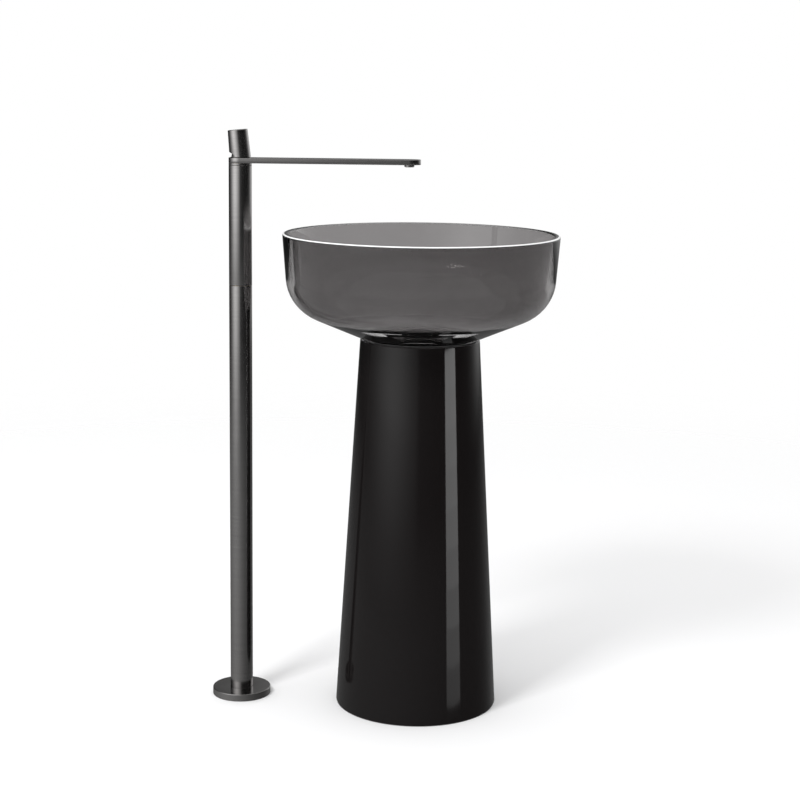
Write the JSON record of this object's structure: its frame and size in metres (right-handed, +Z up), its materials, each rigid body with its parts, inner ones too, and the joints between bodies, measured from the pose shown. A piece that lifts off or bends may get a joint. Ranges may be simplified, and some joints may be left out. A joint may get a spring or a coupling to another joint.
{
  "type": "pedestal sink",
  "caption": "Round translucent basin on a tapered hollow pedestal, with a floor-standing mixer tap whose flat spout swings over it.",
  "frame": {"origin": "on the floor, at the centre of the set's bounding box; the basin's axis is 67.75 mm towards +X of it", "axes": "+Z up, +X from the tap towards the basin, +Y towards the back"},
  "size_m": [0.6512, 0.5154, 1.0886],
  "materials": {
    "smoked_resin": "polished, translucent smoke grey",
    "pedestal_black": "polished black",
    "gunmetal": "dark polished metal",
    "steel": "plain steel",
    "brass": "turned brass",
    "rubber": "matt black",
    "nylon": "natural",
    "trap_plastic": "white moulded",
    "ceramic": "lapped ceramic",
    "hose_braid": "steel-braided rubber hose"
  },
  "bodies": {
    "fixed": {"basin_bowl": "smoked_resin", "bowl_seat_gasket": "rubber", "pedestal_shell": "pedestal_black", "pedestal_foot_seal": "rubber", "pedestal_fixing_screw": "steel", "floor_fixing_plate": "steel", "floor_anchor_bolt_1": "steel", "floor_anchor_bolt_2": "steel", "floor_anchor_bolt_3": "steel", "waste_flange": "gunmetal", "waste_upper_gasket": "rubber", "waste_lower_gasket": "rubber", "waste_slip_washer": "nylon", "waste_back_nut": "brass", "waste_click_post": "nylon", "waste_click_spring": "steel", "trap_inlet_nut": "trap_plastic", "trap_dip_pipe": "trap_plastic", "trap_body": "trap_plastic", "trap_cup": "trap_plastic", "trap_cup_seal": "rubber", "trap_outlet_nut": "trap_plastic", "trap_outlet_bend": "trap_plastic", "floor_drain_collar": "rubber", "tap_floor_flange": "gunmetal", "tap_base_plate": "steel", "tap_anchor_screw_1": "steel", "tap_anchor_screw_2": "steel", "tap_anchor_screw_3": "steel", "tap_column_lower": "gunmetal", "tap_column_set_screw": "steel", "tap_column_upper": "gunmetal", "tap_column_sleeve": "brass", "tap_hose_hot": "hose_braid", "tap_hose_cold": "hose_braid", "tap_hose_coupling_hot": "brass", "tap_hose_coupling_cold": "brass", "tap_valve_body": "brass", "tap_spout_oring_lower": "rubber", "tap_spout_oring_upper": "rubber", "tap_spout_base_ring": "gunmetal", "tap_dome_nut": "gunmetal", "cartridge_housing": "nylon", "cartridge_base_seal": "rubber", "cartridge_fixed_disc": "ceramic"},
    "spout": {"tap_spout_bar": "gunmetal", "tap_nozzle_ring": "gunmetal", "tap_nozzle_straightener": "nylon", "tap_nozzle_washer": "rubber"},
    "rotor": {"cartridge_rotor": "nylon", "cartridge_pivot_pin": "steel"},
    "handle": {"tap_handle": "gunmetal", "tap_handle_set_screw": "steel", "cartridge_stem": "steel"},
    "moving_disc": {"cartridge_moving_disc": "ceramic"},
    "plug": {"waste_plug_cap": "gunmetal", "waste_plug_seal": "rubber", "waste_plug_sleeve": "nylon"}
  },
  "joints": [
    {"name": "spout_swivel", "type": "hinge", "parent": "fixed", "child": "spout", "pos_m": [-0.27025, 0.02, 1.026], "axis": [0, 0, 1], "range_deg": [-60, 60]},
    {"name": "handle_temperature", "type": "hinge", "parent": "fixed", "child": "rotor", "pos_m": [-0.27025, 0.02, 1.037], "axis": [0, 0, 1], "range_deg": [-45, 45]},
    {"name": "handle_tilt", "type": "hinge", "parent": "rotor", "child": "handle", "pos_m": [-0.27025, 0.02, 1.037], "axis": [0, -1, 0], "range_deg": [0, 22]},
    {"name": "disc_slide", "type": "slide", "parent": "rotor", "child": "moving_disc", "axis": [1, 0, 0], "range_m": [0, 0.003]},
    {"name": "plug_lift", "type": "slide", "parent": "fixed", "child": "plug", "axis": [0, 0, 1], "range_m": [0, 0.008], "deforming": ["waste_click_spring"]}
  ],
  "couplings": [
    {"joint": "disc_slide", "follows": "handle_tilt", "m_per_rad": 0.0077}
  ]
}
